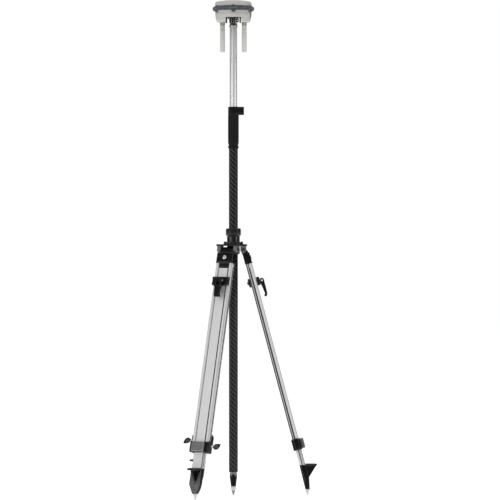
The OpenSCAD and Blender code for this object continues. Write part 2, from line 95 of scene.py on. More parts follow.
bpy.ops.object.camera_add(
    location=(CAMERA_SIDE, -CAMERA_DISTANCE, CAMERA_HEIGHT), rotation=(math.radians(90), 0, 0)
)
camera = bpy.context.object
camera.name = "studio_camera"
camera.data.sensor_width = SENSOR_MM
camera.data.lens = SENSOR_MM * CAMERA_DISTANCE / VIEW_HEIGHT
camera.data.clip_end = 100
bpy.context.scene.camera = camera
bpy.context.scene.view_settings.view_transform = "Standard"
print("lens", round(camera.data.lens, 1), "mm")

# %% [markdown]
# ## Floor and light
# White paper lies under the tripod and goes on to the horizon, where it meets a white backdrop. Round and
# flat metal only shows its shape when it mirrors something uneven, so the world is white behind and above,
# grey in front and dark on both sides. Tall soft boxes stand left and right of the camera, and two strips
# further out draw the thin light lines near the edges of the tubes.

# %% Floor, soft boxes and world
FLOOR_SIZE = 60.0
FLOOR_GLOW = 0.43
DARK_SIDE, GREY_FRONT, CEILING = 0.12, 0.36, 0.85


def paper_material():
    """Matt near-white paper with a very faint mottling, bright enough to meet the backdrop."""
    material = bpy.data.materials.new("studio_paper")
    material.use_nodes = True
    tree = material.node_tree
    shader = tree.nodes["Principled BSDF"]
    noise = tree.nodes.new("ShaderNodeTexNoise")
    noise.inputs["Scale"].default_value = 2.0
    ramp = tree.nodes.new("ShaderNodeValToRGB")
    ramp.color_ramp.elements[0].color = (0.90, 0.90, 0.90, 1)
    ramp.color_ramp.elements[1].color = (0.93, 0.93, 0.93, 1)
    tree.links.new(noise.outputs["Fac"], ramp.inputs["Fac"])
    tree.links.new(ramp.outputs["Color"], shader.inputs["Base Color"])
    shader.inputs["Roughness"].default_value = 0.9
    shader.inputs["Specular IOR Level"].default_value = 0.1
    shader.inputs["Emission Color"].default_value = (1, 1, 1, 1)
    shader.inputs["Emission Strength"].default_value = FLOOR_GLOW
    return material


bpy.ops.object.select_all(action="DESELECT")
bpy.ops.mesh.primitive_plane_add(size=FLOOR_SIZE, location=(0, 0, -0.0005))
floor = bpy.context.object
floor.name = "studio_floor"
floor.data.materials.append(paper_material())


def soft_box(name, place, size, power):
    """A rectangular area light that faces the middle of the pole."""
    bpy.ops.object.light_add(type="AREA", location=place)
    light = bpy.context.object
    light.name = name
    light.data.shape = "RECTANGLE"
    light.data.size, light.data.size_y = size
    light.data.energy = power
    aim = (frame_centre - light.location).to_track_quat("-Z", "Y")
    light.rotation_euler = aim.to_euler()
    return light


frame_centre = (cad_box[0] + cad_box[1]) / 2
soft_box("key_box", (-3.4, -4.2, 2.0), (1.1, 4.0), 34)
soft_box("fill_box", (4.6, -3.7, 1.8), (0.8, 4.0), 18)
soft_box("left_strip", (-5.5, -1.6, 1.4), (0.45, 3.6), 30)
soft_box("right_strip", (5.5, -1.6, 1.4), (0.45, 3.6), 30)
soft_box("top_box", (0.0, -1.0, 5.5), (3.0, 3.0), 24)


def range_node(tree, value, low, high, start, end):
    """Map a value from one span onto another, smoothly and within bounds."""
    node = tree.nodes.new("ShaderNodeMapRange")
    node.interpolation_type = "SMOOTHSTEP"
    node.inputs["From Min"].default_value, node.inputs["From Max"].default_value = low, high
    node.inputs["To Min"].default_value, node.inputs["To Max"].default_value = start, end
    tree.links.new(value, node.inputs["Value"])
    return node.outputs["Result"]


def studio_world():
    """Brightness by direction: a white backdrop, a bright ceiling, a grey front and dark sides."""
    world = bpy.data.worlds.new("studio_world")
    world.use_nodes = True
    tree = world.node_tree
    place = tree.nodes.new("ShaderNodeTexCoord")
    parts = tree.nodes.new("ShaderNodeSeparateXYZ")
    tree.links.new(place.outputs["Generated"], parts.inputs["Vector"])
    backdrop = range_node(tree, parts.outputs["Y"], 0.55, 0.97, DARK_SIDE, 1.0)
    front = range_node(tree, parts.outputs["Y"], -0.95, -0.55, GREY_FRONT, DARK_SIDE)
    ceiling = range_node(tree, parts.outputs["Z"], 0.30, 0.75, 0.0, CEILING)
    brightest = backdrop
    for other in (front, ceiling):
        larger = tree.nodes.new("ShaderNodeMath")
        larger.operation = "MAXIMUM"
        tree.links.new(brightest, larger.inputs[0])
        tree.links.new(other, larger.inputs[1])
        brightest = larger.outputs["Value"]
    tree.links.new(brightest, tree.nodes["Background"].inputs["Strength"])
    tree.nodes["Background"].inputs["Color"].default_value = (1, 1, 1, 1)
    return world


bpy.context.scene.world = studio_world()
print("floor, five soft boxes and a studio world")

# %% [markdown]
# ## A first set of helpers
# Operators act on whatever is selected, so each step starts from a clean selection. A finished piece keeps
# its place in its mesh, rides on the body that moves it and hides the plain part that it stands for.

# %% Select, modify and finish
SMOOTH_ANGLE = math.radians(32)


def select_only(piece):
    """Leave edit mode and make this piece the only one selected."""
    if bpy.context.object and bpy.context.object.mode != "OBJECT":
        bpy.ops.object.mode_set(mode="OBJECT")
    bpy.ops.object.select_all(action="DESELECT")
    piece.select_set(True)
    bpy.context.view_layer.objects.active = piece


def use_modifier(piece, kind, **settings):
    """Add a modifier, set it up and apply it."""
    select_only(piece)
    bpy.ops.object.modifier_add(type=kind)
    modifier = piece.modifiers[-1]
    for setting, value in settings.items():
        setattr(modifier, setting, value)
    bpy.ops.object.modifier_apply(modifier=modifier.name)


def round_edges(piece, width, segments=2, bevel_index=-1, angle=35):
    """Bevel the sharp edges; the given index is the material that the bevels take, a lighter one painting
    wear and a highlight.
    """
    use_modifier(piece, "BEVEL", width=width, segments=segments, limit_method="ANGLE",
                 angle_limit=math.radians(angle), use_clamp_overlap=False, material=bevel_index,
                 harden_normals=False, miter_outer="MITER_ARC")


def drop_place(piece):
    """Move the object's place, turn and size into its mesh."""
    select_only(piece)
    bpy.ops.object.transform_apply(location=True, rotation=True, scale=True)


def smooth(piece, angle=SMOOTH_ANGLE):
    """Smooth shading, with the sharp edges kept."""
    select_only(piece)
    bpy.ops.object.shade_smooth_by_angle(angle=angle)


def hand_over(piece, body, slot, *nodes):
    """Say which body carries the piece and which parts it stands for; slot is not used."""
    drop_place(piece)
    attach(piece, body)
    if nodes:
        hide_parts(*nodes)
    return piece


def paint(piece, *materials):
    """Give the piece these materials. Clearing the old ones puts the first one on every face."""
    piece.data.materials.clear()
    for material in materials:
        piece.data.materials.append(material)


def soften(piece, width, segments=2, angle=35, flat=SMOOTH_ANGLE):
    """Round the edges of a painted piece and smooth it; its second material, if any, is for the bevels."""
    # A second, lighter material paints a highlight on the bevels, with edge wear on the castings
    bevel_index = 1 if len(piece.data.materials) > 1 else -1
    round_edges(piece, width, segments, bevel_index, angle)
    smooth(piece, flat)


# %% [markdown]
# ## Materials
# Real finishes are never one flat colour. Nearly all of them here are the same idea with other numbers: a
# fine noise raises the surface a few hundredths of a millimetre, and a slower noise shifts the colour and
# the gloss a little. Stretching the noise along one direction turns it into drawn or brushed metal.

# %% One recipe for plain finishes
FINE_DETAIL, SLOW_DETAIL = 2.0, 4.0
COAT_ROUGHNESS = 0.08


def blend_node(tree, low, high, factor):
    """A colour ramp from low to high."""
    ramp = tree.nodes.new("ShaderNodeValToRGB")
    ramp.color_ramp.elements[0].color = (*low, 1)
    ramp.color_ramp.elements[1].color = (*high, 1)
    ramp.color_ramp.elements[0].position = 0.3
    ramp.color_ramp.elements[1].position = 0.7
    tree.links.new(factor, ramp.inputs["Fac"])
    return ramp


def noise_node(tree, scale, stretch, detail, where):
    """Noise on the object's own metres, or on its UV map, squeezed by stretch."""
    place = tree.nodes.new("ShaderNodeTexCoord")
    squeeze = tree.nodes.new("ShaderNodeMapping")
    squeeze.inputs["Scale"].default_value = stretch
    noise = tree.nodes.new("ShaderNodeTexNoise")
    noise.inputs["Scale"].default_value = scale
    noise.inputs["Detail"].default_value = detail
    tree.links.new(place.outputs[where], squeeze.inputs["Vector"])
    tree.links.new(squeeze.outputs["Vector"], noise.inputs["Vector"])
    return noise


def finish(name, light, dark, gloss=(0.4, 0.5), metal=0.0, grain=900, bump=0.15, depth=0.0001,
           patch=25, stretch=(1, 1, 1), where="Object", coat=0.0, shine=0.5):
    """A material whose colour runs between light and dark and whose roughness runs between gloss."""
    material = bpy.data.materials.new(name)
    material.use_nodes = True
    tree = material.node_tree
    shader = tree.nodes["Principled BSDF"]
    fine = noise_node(tree, grain, stretch, FINE_DETAIL, where)
    slow = noise_node(tree, patch, stretch, SLOW_DETAIL, where)
    colour = blend_node(tree, dark, light, slow.outputs["Fac"])
    tree.links.new(colour.outputs["Color"], shader.inputs["Base Color"])
    rough = tree.nodes.new("ShaderNodeMapRange")
    rough.inputs["To Min"].default_value, rough.inputs["To Max"].default_value = gloss
    tree.links.new(fine.outputs["Fac"], rough.inputs["Value"])
    tree.links.new(rough.outputs["Result"], shader.inputs["Roughness"])
    raised = tree.nodes.new("ShaderNodeBump")
    raised.inputs["Strength"].default_value = bump
    raised.inputs["Distance"].default_value = depth
    tree.links.new(fine.outputs["Fac"], raised.inputs["Height"])
    tree.links.new(raised.outputs["Normal"], shader.inputs["Normal"])
    shader.inputs["Metallic"].default_value = metal
    shader.inputs["Specular IOR Level"].default_value = shine
    shader.inputs["Coat Weight"].default_value = coat
    shader.inputs["Coat Roughness"].default_value = COAT_ROUGHNESS
    return material


# %% [markdown]
# The housing is a warm light grey moulding with a fine spark-eroded texture. The bumper is a slate
# elastomer. The castings are powder coated, which leaves an orange-peel skin. Their bevels get a lighter
# material of their own, which paints wear on handled edges together with a painted highlight.

# %% Plastics, rubbers and coats
housing_grey = finish("housing_grey", (0.50, 0.49, 0.465), (0.45, 0.44, 0.415), (0.42, 0.55), grain=1400)
sleeve_grey = finish("sleeve_grey", (0.60, 0.60, 0.585), (0.54, 0.54, 0.525), (0.38, 0.5), grain=1400)
slate_rubber = finish("slate_rubber", (0.036, 0.040, 0.047), (0.023, 0.026, 0.031), (0.5, 0.68),
                      bump=0.3, shine=0.35)
# Lighter rubber for the bumper's bevels: a painted highlight
slate_painted_highlight = finish("slate_painted_highlight", (0.13, 0.145, 0.17), (0.08, 0.09, 0.105), (0.5, 0.65), bump=0.3)
port_black = finish("port_black", (0.006, 0.006, 0.0065), (0.003, 0.003, 0.0035), (0.35, 0.5), shine=0.15)
door_black = finish("door_black", (0.022, 0.022, 0.024), (0.012, 0.012, 0.013), (0.4, 0.55), shine=0.3)
grip_rubber = finish("grip_rubber", (0.007, 0.007, 0.0073), (0.004, 0.004, 0.0043), (0.5, 0.65), grain=1800,
                     bump=0.5, shine=0.15)
nylon_black = finish("nylon_black", (0.005, 0.005, 0.0055), (0.003, 0.003, 0.0033), (0.38, 0.55), grain=1500,
                     bump=0.3, shine=0.1)
# Lighter nylon for bevels and the paddles' dish middles: edge wear and a painted highlight
nylon_edge_wear_and_highlight = finish("nylon_edge_wear_and_highlight", (0.055, 0.055, 0.057), (0.022, 0.022, 0.023), (0.35, 0.5), shine=0.3)
coat_black = finish("coat_black", (0.005, 0.005, 0.0055), (0.003, 0.003, 0.0033), (0.32, 0.5), grain=650,
                    bump=0.35, depth=0.0002, shine=0.1)
coat_gloss = finish("coat_gloss", (0.004, 0.004, 0.0045), (0.002, 0.002, 0.0022), (0.16, 0.24), grain=650,
                    bump=0.1, shine=0.4)
# Lighter coat for bevels: edge wear and a painted highlight
coat_edge_wear_and_highlight = finish("coat_edge_wear_and_highlight", (0.10, 0.10, 0.103), (0.04, 0.04, 0.041), (0.3, 0.45), grain=650, shine=0.3)
# Lighter coat for the foot's outward front faces: painted light
coat_painted_light = finish("coat_painted_light", (0.12, 0.12, 0.123), (0.07, 0.07, 0.072), (0.35, 0.5), grain=650, bump=0.35,
                   depth=0.0002, shine=0.3)
coat_grey = finish("coat_grey", (0.155, 0.155, 0.16), (0.115, 0.115, 0.118), (0.4, 0.55), grain=650,
                   bump=0.35, depth=0.0002, shine=0.35)
# Lighter grey for the grey block's bevels: edge wear and a painted highlight
coat_grey_edge_wear_and_highlight = finish("coat_grey_edge_wear_and_highlight", (0.34, 0.34, 0.35), (0.24, 0.24, 0.245), (0.35, 0.45), grain=650)
acetal_white = finish("acetal_white", (0.72, 0.71, 0.68), (0.66, 0.65, 0.62), (0.35, 0.45))
board_green = finish("board_green", (0.03, 0.18, 0.08), (0.02, 0.13, 0.055), (0.3, 0.4))
battery_grey = finish("battery_grey", (0.06, 0.06, 0.065), (0.04, 0.04, 0.043), (0.4, 0.5))
ceramic_buff = finish("ceramic_buff", (0.70, 0.62, 0.42), (0.62, 0.54, 0.36), (0.35, 0.45))

# %% [markdown]
# Tubes and rails are clear anodised aluminium. Drawing leaves hair-fine lines along the length, so the
# noise is squeezed to a hundredth of its scale in that direction. On the tilted rails that direction isn't
# a world axis, so their noise follows a UV map whose V runs down the leg.

# %% Metals
tube_metal = finish("tube_metal", (0.82, 0.825, 0.83), (0.74, 0.745, 0.75), (0.28, 0.38), 0.85, 700, 0.2,
                    stretch=(1, 1, 0.01), patch=90)
collar_metal = finish("collar_metal", (0.32, 0.325, 0.33), (0.25, 0.255, 0.26), (0.28, 0.4), 0.95, 700, 0.2,
                      stretch=(0.05, 0.05, 1))
rail_metal = finish("rail_metal", (0.76, 0.76, 0.765), (0.67, 0.67, 0.675), (0.38, 0.5), 0.55, 900, 0.25,
                    stretch=(1, 0.01, 1), where="UV", patch=70)
# Darker copies of the rail metal: painted shadow and painted shade on channels, slants and corners
rail_painted_shadow = finish("rail_painted_shadow", (0.07, 0.07, 0.072), (0.05, 0.05, 0.052), (0.45, 0.55), 0.3, 900, 0.2,
                     stretch=(1, 0.01, 1), where="UV", shine=0.2)
rail_painted_shade = finish("rail_painted_shade", (0.55, 0.55, 0.555), (0.48, 0.48, 0.485), (0.4, 0.5), 0.55, 900, 0.2,
                    stretch=(1, 0.01, 1), where="UV")
ferrule_grey = finish("ferrule_grey", (0.24, 0.245, 0.255), (0.17, 0.175, 0.18), (0.3, 0.42), 0.9, 700, 0.2,
                      stretch=(0.05, 0.05, 1))
worn_steel = finish("worn_steel", (0.30, 0.30, 0.30), (0.20, 0.20, 0.20), (0.35, 0.5), 0.7, 900, 0.3,
                    stretch=(0.1, 0.1, 1))
ground_steel = finish("ground_steel", (0.66, 0.66, 0.66), (0.50, 0.50, 0.50), (0.22, 0.36), 1.0, 900, 0.25,
                      stretch=(0.1, 0.1, 1))
black_steel = finish("black_steel", (0.06, 0.06, 0.062), (0.035, 0.035, 0.036), (0.3, 0.42), 0.9)
zinc_steel = finish("zinc_steel", (0.74, 0.74, 0.75), (0.60, 0.60, 0.61), (0.22, 0.34), 1.0)
black_nickel = finish("black_nickel", (0.10, 0.10, 0.105), (0.06, 0.06, 0.062), (0.25, 0.36), 0.9)
print("finishes ready:", len(bpy.data.materials))

# %% [markdown]
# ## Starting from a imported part
# A casting's sizes are settled in the frame, and what it lacks is the softness of real edges. So many
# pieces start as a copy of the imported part: its loose triangles are merged, flat areas are joined into
# single faces, and only then can a bevel run cleanly along every edge.

# %% Copy a part, cut it and repeat it
MERGE_DISTANCE = 1e-6
FLAT_ENOUGH = math.radians(0.4)


def copy_part(node, name):
    """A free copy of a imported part, merged, with its flat faces joined."""
    piece = bpy.data.objects.new(name, frame["nodes"][node].data.copy())
    bpy.context.scene.collection.objects.link(piece)
    piece.data.materials.clear()
    select_only(piece)
    bpy.ops.object.mode_set(mode="EDIT")
    bpy.ops.mesh.select_all(action="SELECT")
    bpy.ops.mesh.remove_doubles(threshold=MERGE_DISTANCE)
    bpy.ops.mesh.dissolve_limited(angle_limit=FLAT_ENOUGH)
    bpy.ops.object.mode_set(mode="OBJECT")
    return piece


def add_box(low, high, name="cutter"):
    """A box between two corners."""
    size = [b - a for a, b in zip(low, high)]
    middle = [(a + b) / 2 for a, b in zip(low, high)]
    bpy.ops.object.select_all(action="DESELECT")
    bpy.ops.mesh.primitive_cube_add(size=1, location=middle)
    box = bpy.context.object
    box.name = name
    box.scale = size
    drop_place(box)
    return box


def add_rod(radius, start, end, vertices=32, name="rod"):
    """A round bar from one point to another."""
    along = mathutils.Vector(end) - mathutils.Vector(start)
    bpy.ops.object.select_all(action="DESELECT")
    bpy.ops.mesh.primitive_cylinder_add(vertices=vertices, radius=radius, depth=along.length)
    rod = bpy.context.object
    rod.name = name
    rod.rotation_euler = along.to_track_quat("Z", "Y").to_euler()
    rod.location = (mathutils.Vector(start) + mathutils.Vector(end)) / 2
    drop_place(rod)
    return rod


def bisect(piece, place, direction, **settings):
    """Cut all faces along a plane."""
    select_only(piece)
    bpy.ops.object.mode_set(mode="EDIT")
    bpy.ops.mesh.select_all(action="SELECT")
    bpy.ops.mesh.bisect(plane_co=place, plane_no=direction, **settings)
    bpy.ops.object.mode_set(mode="OBJECT")


def add_section(points, low, high, name):
    """A bar with this outline, given in x and y, between two heights."""
    bpy.ops.object.select_all(action="DESELECT")
    bpy.ops.mesh.primitive_circle_add(vertices=len(points), radius=1, fill_type="NGON")
    bar = bpy.context.object
    bar.name = name
    for vertex, (x, y) in zip(bar.data.vertices, points):
        vertex.co = (x, y, low)
    bpy.ops.object.mode_set(mode="EDIT")
    bpy.ops.mesh.select_all(action="SELECT")
    bpy.ops.mesh.extrude_region_move(TRANSFORM_OT_translate={"value": (0, 0, high - low)})
    bpy.ops.mesh.select_all(action="SELECT")
    bpy.ops.mesh.normals_make_consistent(inside=False)
    bpy.ops.object.mode_set(mode="OBJECT")
    return bar


def quarter(x, y, radius, start, steps=6):
    """Points of a quarter circle about (x, y) from this angle on, counter-clockwise."""
    angles = [math.radians(start + 90 * i / steps) for i in range(steps + 1)]
    return [(x + radius * math.cos(a), y + radius * math.sin(a)) for a in angles]


def join(pieces, name):
    """Make one object of several."""
    select_only(pieces[0])
    for piece in pieces[1:]:
        piece.select_set(True)
    bpy.ops.object.join()
    pieces[0].name = name
    return pieces[0]


def cut_away(piece, cutters):
    """Subtract the cutters from the piece and delete them."""
    for cutter in cutters:
        use_modifier(piece, "BOOLEAN", operation="DIFFERENCE", object=cutter, solver="EXACT")
        bpy.data.objects.remove(cutter)


def simple_piece(node, name, body, slot, *materials, **edges):
    """Copy a part, paint it, soften it and hand it over as it is."""
    piece = copy_part(node, name)
    paint(piece, *materials)
    soften(piece, **edges)
    return hand_over(piece, body, slot, node)


def turn_about_pole(piece, degrees):
    """Turn the piece about the pole's axis and keep the turn in its mesh."""
    piece.rotation_euler = (0, 0, math.radians(degrees))
    drop_place(piece)


def twin(piece, name):
    """A copy with its own mesh."""
    other = piece.copy()
    other.data = piece.data.copy()
    other.name = name
    bpy.context.scene.collection.objects.link(other)
    return other


def repeat_on_legs(piece, part, body, slot, *parts):
    """Copy a finished piece of leg a to all three legs and hand each copy over."""
    for leg, azimuth in LEG_AZIMUTH.items():
        copy = twin(piece, f"leg_{leg}_{part}_form")
        turn_about_pole(copy, azimuth)
        hand_over(copy, f"leg_{leg}_{body}", slot, *[f"leg_{leg}_{p}" for p in parts])
    bpy.data.objects.remove(piece)


# %% [markdown]
# ## Radome
# The upper housing is a thin dome of plastic that radio waves pass through. Six shallow grooves run down
# its side, one above each corner of the bumper. They are cut with slim bars set on edge, so that each
# groove gets a V section, and the rim gets a small bevel that later reads as the seam.

# %% Radome with its six grooves
GROOVES, GROOVE_DEPTH = 6, 0.0009
BAR_HALF, BAR_REACH = 0.0022, 0.0031
radome_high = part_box("receiver_radome")[1]
groove_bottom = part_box("receiver_bumper")[1].z - 0.004
groove_top = radome_high.z - 0.010
radome = copy_part("receiver_radome", "radome_shell")
cutters = []
for i in range(GROOVES):
    bar = add_box((-BAR_HALF, -BAR_HALF, groove_bottom), (BAR_HALF, BAR_HALF, groove_top))
    turn_about_pole(bar, 45)
    bar.location = (radome_high.x + BAR_REACH - GROOVE_DEPTH, 0, 0)
    drop_place(bar)
    turn_about_pole(bar, 30 + 360 * i / GROOVES)
    cutters.append(bar)
cut_away(radome, cutters)
paint(radome, housing_grey)
soften(radome, 0.0005, angle=40)
hand_over(radome, "receiver", "housing", "receiver_radome")
print("radome faces:", len(radome.data.polygons))

# %% [markdown]
# ## Lower housing and bumper
# The tub keeps its packed form with softened edges. The bumper's diamond corners catch the light on their
# bevels, which gives the chevrons that one sees on such receivers, so its bevels are painted a lighter
# rubber: a painted highlight.

# %% Lower housing
simple_piece("receiver_base", "lower_housing", "receiver", "housing", housing_grey, width=0.0006, angle=30)

# %% Bumper with lit chevrons
bumper = simple_piece("receiver_bumper", "bumper_ring", "receiver", "bumper", slate_rubber, slate_painted_highlight,
                      width=0.0011, angle=24, flat=math.radians(28))
print("bumper faces:", len(bumper.data.polygons))

# %% [markdown]
# ## Battery door, power button and ports
# The battery door is a black curved panel. The power button is on the far side, with two small lamps beside
# it. In the bay under the housing hang the connectors and the ribs between them, all of one black plastic.

# %% Battery door
simple_piece("battery_door", "battery_door_panel", "battery_door", "door", door_black, width=0.0005, angle=30)

# %% Power button and its lamps
LAMP_RADIUS, LAMP_X = 0.0016, 0.014
LAMP_BACK, LAMP_FACE = 0.0715, 0.0765
simple_piece("power_button", "power_button_cap", "power_button", "door", door_black,
             width=0.0007, segments=3, angle=40)
button_low, button_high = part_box("power_button")
button_height = (button_low.z + button_high.z) / 2
lamp_green = finish("lamp_green", (0.10, 0.55, 0.18), (0.07, 0.45, 0.14), (0.15, 0.25), coat=0.6)
for i, side in enumerate((-1, 1)):
    lens = add_rod(LAMP_RADIUS, (side * LAMP_X, LAMP_BACK, button_height),
                   (side * LAMP_X, LAMP_FACE, button_height), 24, f"status_lamp_{i + 1}")
    paint(lens, lamp_green)
    soften(lens, 0.0005, 3, 40)
    hand_over(lens, "receiver", "door")

# %% Ports in the bay
simple_piece("data_ports", "port_barrels_and_ribs", "receiver", "door", port_black, width=0.0004, angle=40)

# %% [markdown]
# ## Rod antennas
# Each rod is a plastic sleeve with a knurled collar near its root, which the fingers turn to screw it in.
# The knurl is modelled: every second face of a cylinder's side is raised.

# %% Knurled collar
def knurled_collar(radius, low, high, ribs, raised, name):
    """A collar whose side has raised ribs."""
    bpy.ops.object.select_all(action="DESELECT")
    bpy.ops.mesh.primitive_cylinder_add(
        vertices=2 * ribs, radius=radius - raised, depth=high - low, location=(0, 0, (low + high) / 2)
    )
    collar = bpy.context.object
    collar.name = name
    drop_place(collar)
    bpy.ops.object.mode_set(mode="EDIT")
    bpy.ops.mesh.select_all(action="DESELECT")
    bpy.ops.object.mode_set(mode="OBJECT")
    sides = [f for f in collar.data.polygons if abs(f.normal.z) < 0.5]
    sides.sort(key=lambda f: math.atan2(f.center.y, f.center.x))
    for face in sides[::2]:
        face.select = True
    bpy.ops.object.mode_set(mode="EDIT")
    bpy.ops.mesh.select_mode(type="FACE")
    bpy.ops.mesh.inset(thickness=0.00025, depth=raised, use_individual=True)
    bpy.ops.object.mode_set(mode="OBJECT")
    return collar


# %% Both rod antennas
KNURL_FROM, KNURL_TO = 0.039, 0.0185
KNURL_RIBS, KNURL_RAISED = 30, 0.0005
for x_name in ("left", "right"):
    low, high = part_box(f"{x_name}_rod_antenna")
    x = (low.x + high.x) / 2
    radius = (high.x - low.x) / 2
    simple_piece(f"{x_name}_rod_antenna", f"{x_name}_rod_sleeve", "receiver", "rod", sleeve_grey,
                 width=0.0004, angle=25)
    collar = knurled_collar(radius - 0.0001, high.z - KNURL_FROM, high.z - KNURL_TO, KNURL_RIBS, KNURL_RAISED,
                            f"{x_name}_rod_knurl")
    collar.location = (x, 0, 0)
    smooth(collar, math.radians(20))
    paint(collar, sleeve_grey)
    hand_over(collar, "receiver", "rod")
print("rod antennas stand at x", round(x * 1000, 1), "mm either side")

# %% [markdown]
# ## Pole
# The upper tube is drawn aluminium, and the lower tube is carbon cloth under clear resin. The cloth is a
# twill: each thread passes over two and under two, and each row starts one thread later, which makes
# diagonal ribs. A UV map wraps the tube in metres, and the material finds row and column from it.

# %% Wrap a UV map round the pole's axis
def wrap_uv(piece, radius):
    """U is metres round the pole's axis and V is metres up it."""
    layer = piece.data.uv_layers.new(name="wrap")
    for face in piece.data.polygons:
        middle = math.atan2(face.center.y, face.center.x)
        for corner in face.loop_indices:
            point = piece.data.vertices[piece.data.loops[corner].vertex_index].co
            angle = math.atan2(point.y, point.x)
            angle += 2 * math.pi * round((middle - angle) / (2 * math.pi))
            layer.data[corner].uv = (angle * radius, point.z)


# %% Carbon twill
def carbon_twill(radius, threads_round, thread_height):
    """Twill cloth of two over, two under, in clear gloss resin."""
    material = bpy.data.materials.new("carbon_twill")
    material.use_nodes = True
    tree = material.node_tree
    shader = tree.nodes["Principled BSDF"]

    def maths(operation, first, second=None):
        node = tree.nodes.new("ShaderNodeMath")
        node.operation = operation
        for socket, value in zip(node.inputs, (first, second)):
            if isinstance(value, (int, float)):
                socket.default_value = value
            elif value is not None:
                tree.links.new(value, socket)
        return node.outputs["Value"]

    uv = tree.nodes.new("ShaderNodeUVMap")
    uv.uv_map = "wrap"
    parts = tree.nodes.new("ShaderNodeSeparateXYZ")
    tree.links.new(uv.outputs["UV"], parts.inputs["Vector"])
    across = maths("MULTIPLY", parts.outputs["X"], threads_round / (2 * math.pi * radius))
    up = maths("MULTIPLY", parts.outputs["Y"], 1 / thread_height)
    step = maths("ADD", maths("FLOOR", across), maths("FLOOR", up))
    over = maths("LESS_THAN", maths("FLOORED_MODULO", step, 4.0), 2.0)
    # Each thread is round: highest along its middle
    warp = maths("SINE", maths("MULTIPLY", maths("FRACT", across), math.pi))
    weft = maths("SINE", maths("MULTIPLY", maths("FRACT", up), math.pi))
    height = maths("ADD", maths("MULTIPLY", over, warp),
                   maths("MULTIPLY", maths("SUBTRACT", 1.0, over), weft))
    # The threads on top are painted lighter along their middle and the threads below stay black: a painted
    # sheen for the light the fibres reflect
    colour = tree.nodes.new("ShaderNodeMix")
    colour.data_type = "RGBA"
    colour.inputs[6].default_value = (0.0015, 0.0015, 0.0017, 1)
    colour.inputs[7].default_value = (0.066, 0.066, 0.069, 1)
    tree.links.new(maths("MULTIPLY", over, height), colour.inputs["Factor"])
    tree.links.new(colour.outputs[2], shader.inputs["Base Color"])
    raised = tree.nodes.new("ShaderNodeBump")
    raised.inputs["Strength"].default_value = 0.35
    raised.inputs["Distance"].default_value = 0.0003
    tree.links.new(height, raised.inputs["Height"])
    tree.links.new(raised.outputs["Normal"], shader.inputs["Normal"])
    shader.inputs["Roughness"].default_value = 0.35
    shader.inputs["Specular IOR Level"].default_value = 0.05
    shader.inputs["Coat Weight"].default_value = 0.25
    shader.inputs["Coat Roughness"].default_value = 0.09
    return material


# %% Lower pole in carbon, upper pole in aluminium
POLE_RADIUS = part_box("lower_pole")[1].x
THREADS_ROUND = 24
THREAD_HEIGHT = 0.0048

carbon = copy_part("lower_pole", "carbon_tube")
wrap_uv(carbon, POLE_RADIUS)
paint(carbon, carbon_twill(POLE_RADIUS, THREADS_ROUND, THREAD_HEIGHT))
soften(carbon, 0.0003, angle=40)
hand_over(carbon, "pole", "carbon", "lower_pole")

simple_piece("upper_pole", "drawn_tube", "receiver", "pole_metal", tube_metal, width=0.0003, angle=40)
simple_piece("pole_top_collar", "pole_head", "receiver", "pole_metal", collar_metal, width=0.0006, angle=25)
print("carbon thread width", round(2 * math.pi * POLE_RADIUS / THREADS_ROUND * 1000, 2), "mm")

# %% [markdown]
# ## Grip and lock
# The grip is a moulded sleeve, and shallow flutes run along it so that a wet hand holds. The lock is a black
# block with a folding lever and two cap screws with hexagon sockets.

# %% Grip with flutes
FLUTES = 12
FLUTE_RADIUS, FLUTE_DEPTH = 0.0022, 0.0006
grip_low, grip_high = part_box("pole_grip")
flute_x = grip_high.x + FLUTE_RADIUS - FLUTE_DEPTH
flute_low, flute_high = grip_low.z + 0.040, grip_high.z - 0.012
grip = copy_part("pole_grip", "grip_sleeve")
cutters = []
for i in range(FLUTES):
    flute = add_rod(FLUTE_RADIUS, (flute_x, 0, flute_low), (flute_x, 0, flute_high), 16)
    turn_about_pole(flute, 15 + 360 * i / FLUTES)
    cutters.append(flute)
cut_away(grip, [join(cutters, "flutes")])
paint(grip, grip_rubber)
soften(grip, 0.0005, angle=28)
hand_over(grip, "pole", "grip", "pole_grip")


# %% Cap screws
def cap_screw(radius, height, name):
    """A socket cap screw, head up, with its base at the origin."""
    bpy.ops.object.select_all(action="DESELECT")
    bpy.ops.mesh.primitive_cylinder_add(vertices=32, radius=radius, depth=height, location=(0, 0, height / 2))
    screw = bpy.context.object
    screw.name = name
    drop_place(screw)
    bpy.ops.object.select_all(action="DESELECT")
    bpy.ops.mesh.primitive_cylinder_add(vertices=6, radius=radius * 0.52, depth=height,
                                        location=(0, 0, height * 0.95))
    cutter = bpy.context.object
    drop_place(cutter)
    cut_away(screw, [cutter])
    round_edges(screw, radius * 0.1, 2, angle=40)
    smooth(screw)
    return screw


def place_screw(radius, height, spot, facing, name):
    """A cap screw standing on spot and facing that way."""
    screw = cap_screw(radius, height, name)
    screw.rotation_euler = mathutils.Vector(facing).to_track_quat("Z", "Y").to_euler()
    screw.location = spot
    drop_place(screw)
    return screw


# %% Lock block and lever
lock_low, lock_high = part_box("lock_housing")
simple_piece("lock_housing", "lock_block", "pole", "moulding", nylon_black, nylon_edge_wear_and_highlight,
             width=0.0012, segments=3)
simple_piece("lock_lever", "lock_lever_form", "lock_lever", "moulding", nylon_black, nylon_edge_wear_and_highlight, width=0.0005)

LOCK_SCREW_X, LOCK_SCREW_Y = lock_high.x - 0.006, lock_high.y - 0.0094
for i, share in enumerate((0.25, 0.75)):
    spot = (LOCK_SCREW_X, LOCK_SCREW_Y, lock_low.z + share * (lock_high.z - lock_low.z))
    screw = place_screw(0.003, 0.0014, spot, (0, 1, 0), f"lock_screw_{i + 1}")
    paint(screw, zinc_steel)
    hand_over(screw, "pole", "bright_steel")

# %% [markdown]
# ## Ferrule and point
# The ferrule is turned aluminium with six flats milled down its cone. The flats and the ferrule's lower part
# are black. The point below it is ground steel, dulled where it goes into the ground.

